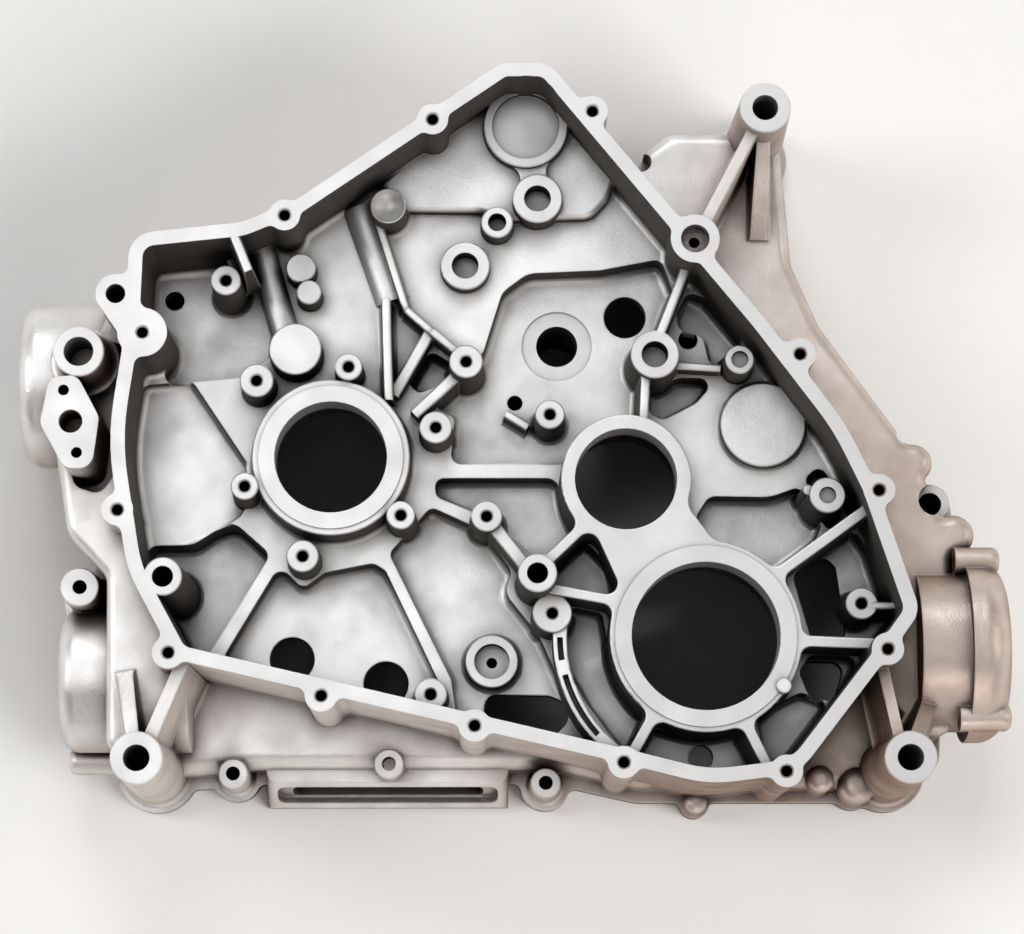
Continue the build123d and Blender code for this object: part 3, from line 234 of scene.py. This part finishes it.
# Sizes of the patterns, as noise scales over metres
CLOUD_SCALE = 14.0
SMUDGE_SCALE = 55.0
COARSE_GRAIN_SCALE = 190.0
FINE_GRAIN_SCALE = 900.0
GRAIN_DEPTH = 0.0006

# Reach of the painted shade in deep places and in narrow corners, in metres, and how finely shading nodes
# look round
HOLLOW_SHADE_REACH = 0.030
CREASE_SHADE_REACH = 0.009
SHADING_SAMPLES = 3

# How bare metal shows on worn edges
BARE_METAL = grey(0.92)
BARE_SHARE = grey(0.75)

# Colour of the painted warm shade on the right side where it is palest, and how far its border leans with Y
# and wanders
PALE_WARM_SHADE = (0.88, 0.79, 0.73, 1.0)
BORDER_LEAN = 0.35
BORDER_WANDER = 0.12

# How much rougher the sand-cast walls are than the level faces
WALL_ROUGHNESS = grey(0.34)


def painted_warm_side_shade(nodes, place, level, clouds, mottle, plain, warm_side_shade):
    """The plain colour, turning to a patchy painted warm brown shade towards the right side of the case."""
    start, end, warm_shade_colour = warm_side_shade
    split = nodes.add("ShaderNodeSeparateXYZ", Vector=place)
    lean = nodes.math("MULTIPLY", split.outputs["Y"], BORDER_LEAN)
    across = nodes.math("SUBTRACT", split.outputs["X"], lean)
    border = nodes.math("ADD", across, nodes.math("MULTIPLY", clouds, BORDER_WANDER))
    share = nodes.add("ShaderNodeMapRange", Value=border)
    nodes.put(share.inputs["From Min"], start)
    nodes.put(share.inputs["From Max"], end)
    # Random mottle, with level faces kept paler: partly real tone, partly painted light on faces that look up
    mottle_and_painted_top_light = nodes.ramp(nodes.blend(level, 0.3, mottle, 0.9), ((0.42, BLACK), (0.92, WHITE)))
    warm_shaded = nodes.mix(mottle_and_painted_top_light, warm_shade_colour, PALE_WARM_SHADE)
    return nodes.mix(share.outputs["Result"], plain, warm_shaded)


def metal_material(
    name, base, stain, metallic, rough, grain, edge_radius, walls, hollow_shade_colour, crease_shade_colour,
    open_from=0.58, warm_side_shade=None,
):
    """Aluminium with grain, stains, bright worn edges, and painted shade on walls, in deep places and in
    narrow corners.

    The colour is multiplied by painted shade: by walls on upright faces, by hollow_shade_colour in deep
    places and by crease_shade_colour in narrow ones. A place more open than open_from gets no painted shade
    of depth.
    warm_side_shade is where the painted warm shade of the right side starts and where it is full, in metres,
    and its colour.
    """
    material = bpy.data.materials.new(name)
    material.use_nodes = True
    shader = material.node_tree.nodes["Principled BSDF"]
    nodes = Nodes(material.node_tree)
    place = nodes.add("ShaderNodeTexCoord").outputs["Object"]
    true_normal = nodes.add("ShaderNodeNewGeometry").outputs["Normal"]
    upright = nodes.add("ShaderNodeSeparateXYZ", Vector=true_normal)
    level = nodes.math("ABSOLUTE", upright.outputs["Z"])

    clouds = nodes.noise(place, CLOUD_SCALE, 4.0, 0.6)
    smudges = nodes.noise(place, SMUDGE_SCALE, 3.0, 0.55)
    mottle = nodes.blend(clouds, 0.6, smudges, 0.4)
    colour = nodes.ramp(mottle, ((0.36, stain), (0.56, base)))
    # Painted warm shade towards the right side of the case
    if warm_side_shade:
        colour = painted_warm_side_shade(nodes, place, level, clouds, mottle, colour, warm_side_shade)

    # Painted shade in deep places, darker where little is open around, weaker on level faces
    wide = nodes.add("ShaderNodeAmbientOcclusion", Distance=HOLLOW_SHADE_REACH)
    wide.samples = SHADING_SAMPLES
    painted_hollow_shade = nodes.ramp(wide.outputs["AO"], ((0.08, hollow_shade_colour), (open_from, WHITE)))
    painted_hollow_shade = nodes.mix(nodes.math("MULTIPLY", level, 0.30), painted_hollow_shade, WHITE)
    near = nodes.add("ShaderNodeAmbientOcclusion", Distance=CREASE_SHADE_REACH)
    near.samples = SHADING_SAMPLES
    # Painted shade in narrow corners
    painted_crease_shade = nodes.ramp(near.outputs["AO"], ((0.34, crease_shade_colour), (0.80, WHITE)))
    # Painted shade on upright walls, darker the steeper the face
    painted_wall_shade = nodes.ramp(level, ((0.12, walls), (0.78, WHITE)))
    for shade in (painted_hollow_shade, painted_crease_shade, painted_wall_shade):
        colour = nodes.mix(1.0, colour, shade, "MULTIPLY")

    soft_edges = nodes.add("ShaderNodeBevel", Radius=edge_radius)
    soft_edges.samples = SHADING_SAMPLES
    facing = nodes.add("ShaderNodeVectorMath", i0=soft_edges.outputs["Normal"], i1=true_normal)
    facing.operation = "DOT_PRODUCT"
    bent = nodes.math("SUBTRACT", 1.0, facing.outputs["Value"])
    open_edges = nodes.math("MULTIPLY", bent, near.outputs["AO"])
    wear = nodes.ramp(open_edges, ((0.02, BLACK), (0.16, BARE_SHARE)))
    colour = nodes.mix(wear, colour, BARE_METAL)

    fine = nodes.noise(place, FINE_GRAIN_SCALE, 2.0, 0.6)
    coarse = nodes.noise(place, COARSE_GRAIN_SCALE, 3.0, 0.6)
    relief = nodes.blend(fine, 0.45, coarse, 0.55)
    bump = nodes.add(
        "ShaderNodeBump",
        Strength=grain, Distance=GRAIN_DEPTH, Height=relief, Normal=soft_edges.outputs["Normal"],
    )

    sheen = nodes.ramp(smudges, ((0.30, grey(rough + 0.08)), (0.70, grey(rough - 0.05))))
    sandy = nodes.ramp(level, ((0.12, WALL_ROUGHNESS), (0.70, BLACK)))
    nodes.put(shader.inputs["Base Color"], colour)
    nodes.put(shader.inputs["Roughness"], nodes.math("ADD", sheen, sandy))
    nodes.put(shader.inputs["Normal"], bump.outputs["Normal"])
    nodes.put(shader.inputs["Metallic"], metallic)
    return material


def camera():
    """The photograph's view: almost straight down, tilted a little towards the lower edge."""
    tilt_x = math.radians(0.556)
    tilt_y = math.radians(9.2)
    distance = 1.5
    focal_pixels = 3300.0
    image_width = 1024.0
    sensor_mm = 36.0
    back = Vector((-math.sin(tilt_x), -math.sin(tilt_y), 0.0))
    back.z = math.sqrt(1.0 - back.x ** 2 - back.y ** 2)
    right = (Vector((1.0, 0.0, 0.0)) - back * back.x).normalized()
    up = back.cross(right)
    data = bpy.data.cameras.new("camera")
    data.sensor_width = sensor_mm
    data.lens = focal_pixels / image_width * sensor_mm
    data.clip_start = 0.05
    data.clip_end = 60.0
    obj = bpy.data.objects.new("camera", data)
    bpy.context.scene.collection.objects.link(obj)
    matrix = Matrix((right, up, back)).transposed().to_4x4()
    matrix.translation = PLAN + back * distance
    obj.matrix_world = matrix
    bpy.context.scene.camera = obj


def lamp(name, azimuth, elevation, distance, size, power, colour):
    """A square soft lamp that looks at the part. Azimuth 0 stands on the +Y side, 90 on the +X side."""
    data = bpy.data.lights.new(name, "AREA")
    data.shape = "SQUARE"
    data.size = size
    data.energy = power
    data.color = colour
    obj = bpy.data.objects.new(name, data)
    bpy.context.scene.collection.objects.link(obj)
    az = math.radians(azimuth)
    el = math.radians(elevation)
    direction = Vector((math.sin(az) * math.cos(el), math.cos(az) * math.cos(el), math.sin(el)))
    target = Vector((0.0, 0.0, 0.06))
    obj.location = target + direction * distance
    obj.rotation_euler = direction.to_track_quat("Z", "Y").to_euler()
    obj.visible_camera = False
    return obj


def paper_floor():
    """A sheet of dull off-white paper just under the part."""
    half = 3.2
    gap = 0.0002
    mesh = bpy.data.meshes.new("floor")
    corners = [(-half, -half, 0.0), (half, -half, 0.0), (half, half, 0.0), (-half, half, 0.0)]
    mesh.from_pydata(corners, [], [(0, 1, 2, 3)])
    floor = bpy.data.objects.new("floor", mesh)
    bpy.context.scene.collection.objects.link(floor)
    floor.location.z = -gap
    material = bpy.data.materials.new("floor_paper")
    material.use_nodes = True
    shader = material.node_tree.nodes["Principled BSDF"]
    shader.inputs["Base Color"].default_value = (0.90, 0.895, 0.885, 1.0)
    shader.inputs["Roughness"].default_value = 0.9
    shader.inputs["Specular IOR Level"].default_value = 0.0
    mesh.materials.append(material)


def studio_walls():
    """A world that is pale towards the horizon, as a studio with white walls, and dim above."""
    world = bpy.data.worlds.new("studio")
    bpy.context.scene.world = world
    world.use_nodes = True
    nodes = Nodes(world.node_tree)
    direction = nodes.add("ShaderNodeTexCoord").outputs["Generated"]
    upward = nodes.add("ShaderNodeSeparateXYZ", Vector=direction)
    walls = nodes.ramp(upward.outputs["Z"], ((0.16, grey(0.80, 0.01)), (0.34, grey(0.06, 0.01))))
    background = world.node_tree.nodes["Background"]
    nodes.put(background.inputs["Color"], walls)
    nodes.put(background.inputs["Strength"], 1.0)


def lamps():
    lamp("key", -80.0, 40.0, 5.0, 1.7, 70.0, (1.0, 0.995, 0.985))
    lamp("top_fill", -5.0, 44.0, 5.0, 2.2, 80.0, (0.97, 0.985, 1.0))
    lamp("right_fill", 80.0, 40.0, 5.0, 2.4, 36.0, (1.0, 0.94, 0.88))
    lamp("warm_fill", 165.0, 38.0, 5.0, 2.4, 40.0, (1.0, 0.92, 0.85))
    # Fill for the paper and other dull surfaces, left out of the sheen of the metal
    dull_fill = lamp("dull_fill", 120.0, 36.0, 5.0, 2.6, 170.0, (1.0, 0.985, 0.97))
    dull_fill.visible_glossy = False
    # Soft box almost overhead, seen only in the sheen of the metal, so that it leaves the bores dark
    sheen_box = lamp("sheen_box", -70.0, 79.0, 4.0, 2.4, 34.0, (1.0, 1.0, 1.0))
    sheen_box.visible_diffuse = False


# In each metal below, the colours for walls, deep places and narrow corners are painted shade
finishes = (
    metal_material(
        "cast_aluminium", base=grey(0.95, 0.003), stain=grey(0.86, 0.012), metallic=0.82, rough=0.46,
        grain=0.35, edge_radius=0.0010,
        walls=grey(0.13, 0.08), hollow_shade_colour=grey(0.26, 0.08), crease_shade_colour=grey(0.07, 0.14),
    ),
    metal_material(
        "machined_aluminium", base=grey(0.80, 0.003), stain=grey(0.74, 0.006), metallic=0.80, rough=0.44,
        grain=0.07, edge_radius=0.0004,
        walls=grey(0.5, 0.02), hollow_shade_colour=grey(0.6, 0.03), crease_shade_colour=grey(0.3, 0.05),
    ),
    metal_material(
        "cast_outer_skin", base=grey(0.92, 0.008), stain=grey(0.77, 0.03), metallic=0.82, rough=0.43,
        grain=0.45, edge_radius=0.0012,
        walls=(0.78, 0.73, 0.70, 1.0), hollow_shade_colour=(0.19, 0.12, 0.085, 1.0), crease_shade_colour=(0.08, 0.045, 0.03, 1.0),
        open_from=0.76, warm_side_shade=(0.08, 0.20, (0.42, 0.31, 0.245, 1.0)),
    ),
    # A dark painted shade for the unlit chambers and the walls below the bearing bores, not a finish of the
    # metal
    metal_material(
        "chamber_painted_shade", base=grey(0.060, 0.03), stain=grey(0.035, 0.04), metallic=0.30, rough=0.60,
        grain=0.40, edge_radius=0.0008,
        walls=grey(1.0), hollow_shade_colour=grey(0.6), crease_shade_colour=grey(0.3),
    ),
)
casting = make_casting(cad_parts["crankcase"], finishes)
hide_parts("crankcase")
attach(casting, "root")

paper_floor()
studio_walls()
lamps()
camera()
bpy.context.scene.view_settings.view_transform = "Standard"
